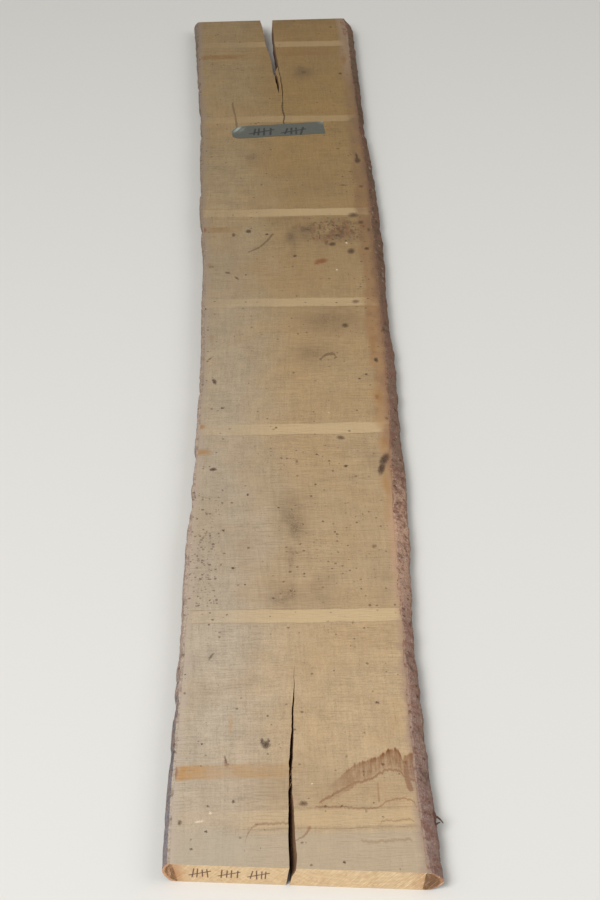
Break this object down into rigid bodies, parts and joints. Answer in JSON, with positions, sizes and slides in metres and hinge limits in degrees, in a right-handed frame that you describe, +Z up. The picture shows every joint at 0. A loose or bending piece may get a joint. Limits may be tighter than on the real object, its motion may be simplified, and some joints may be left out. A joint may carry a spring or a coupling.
{
  "type": "live-edge timber plank",
  "caption": "Live-edge timber plank sawn from a log, with wandering bark edges, a split in each end and a strip of tape across its face.",
  "frame": {"origin": "middle of the underside, on the floor that the plank lies on", "axes": "+Y along the plank to its far end, +X to the right, +Z up through its thickness"},
  "size_m": [0.377, 2.4528, 0.0324],
  "materials": {
    "wood": "rough sawn, weathered, bark left on its edges",
    "tape": "grey cloth-backed adhesive tape"
  },
  "bodies": {
    "root": {"plank": "wood", "tape_strip": "tape"}
  },
  "joints": []
}
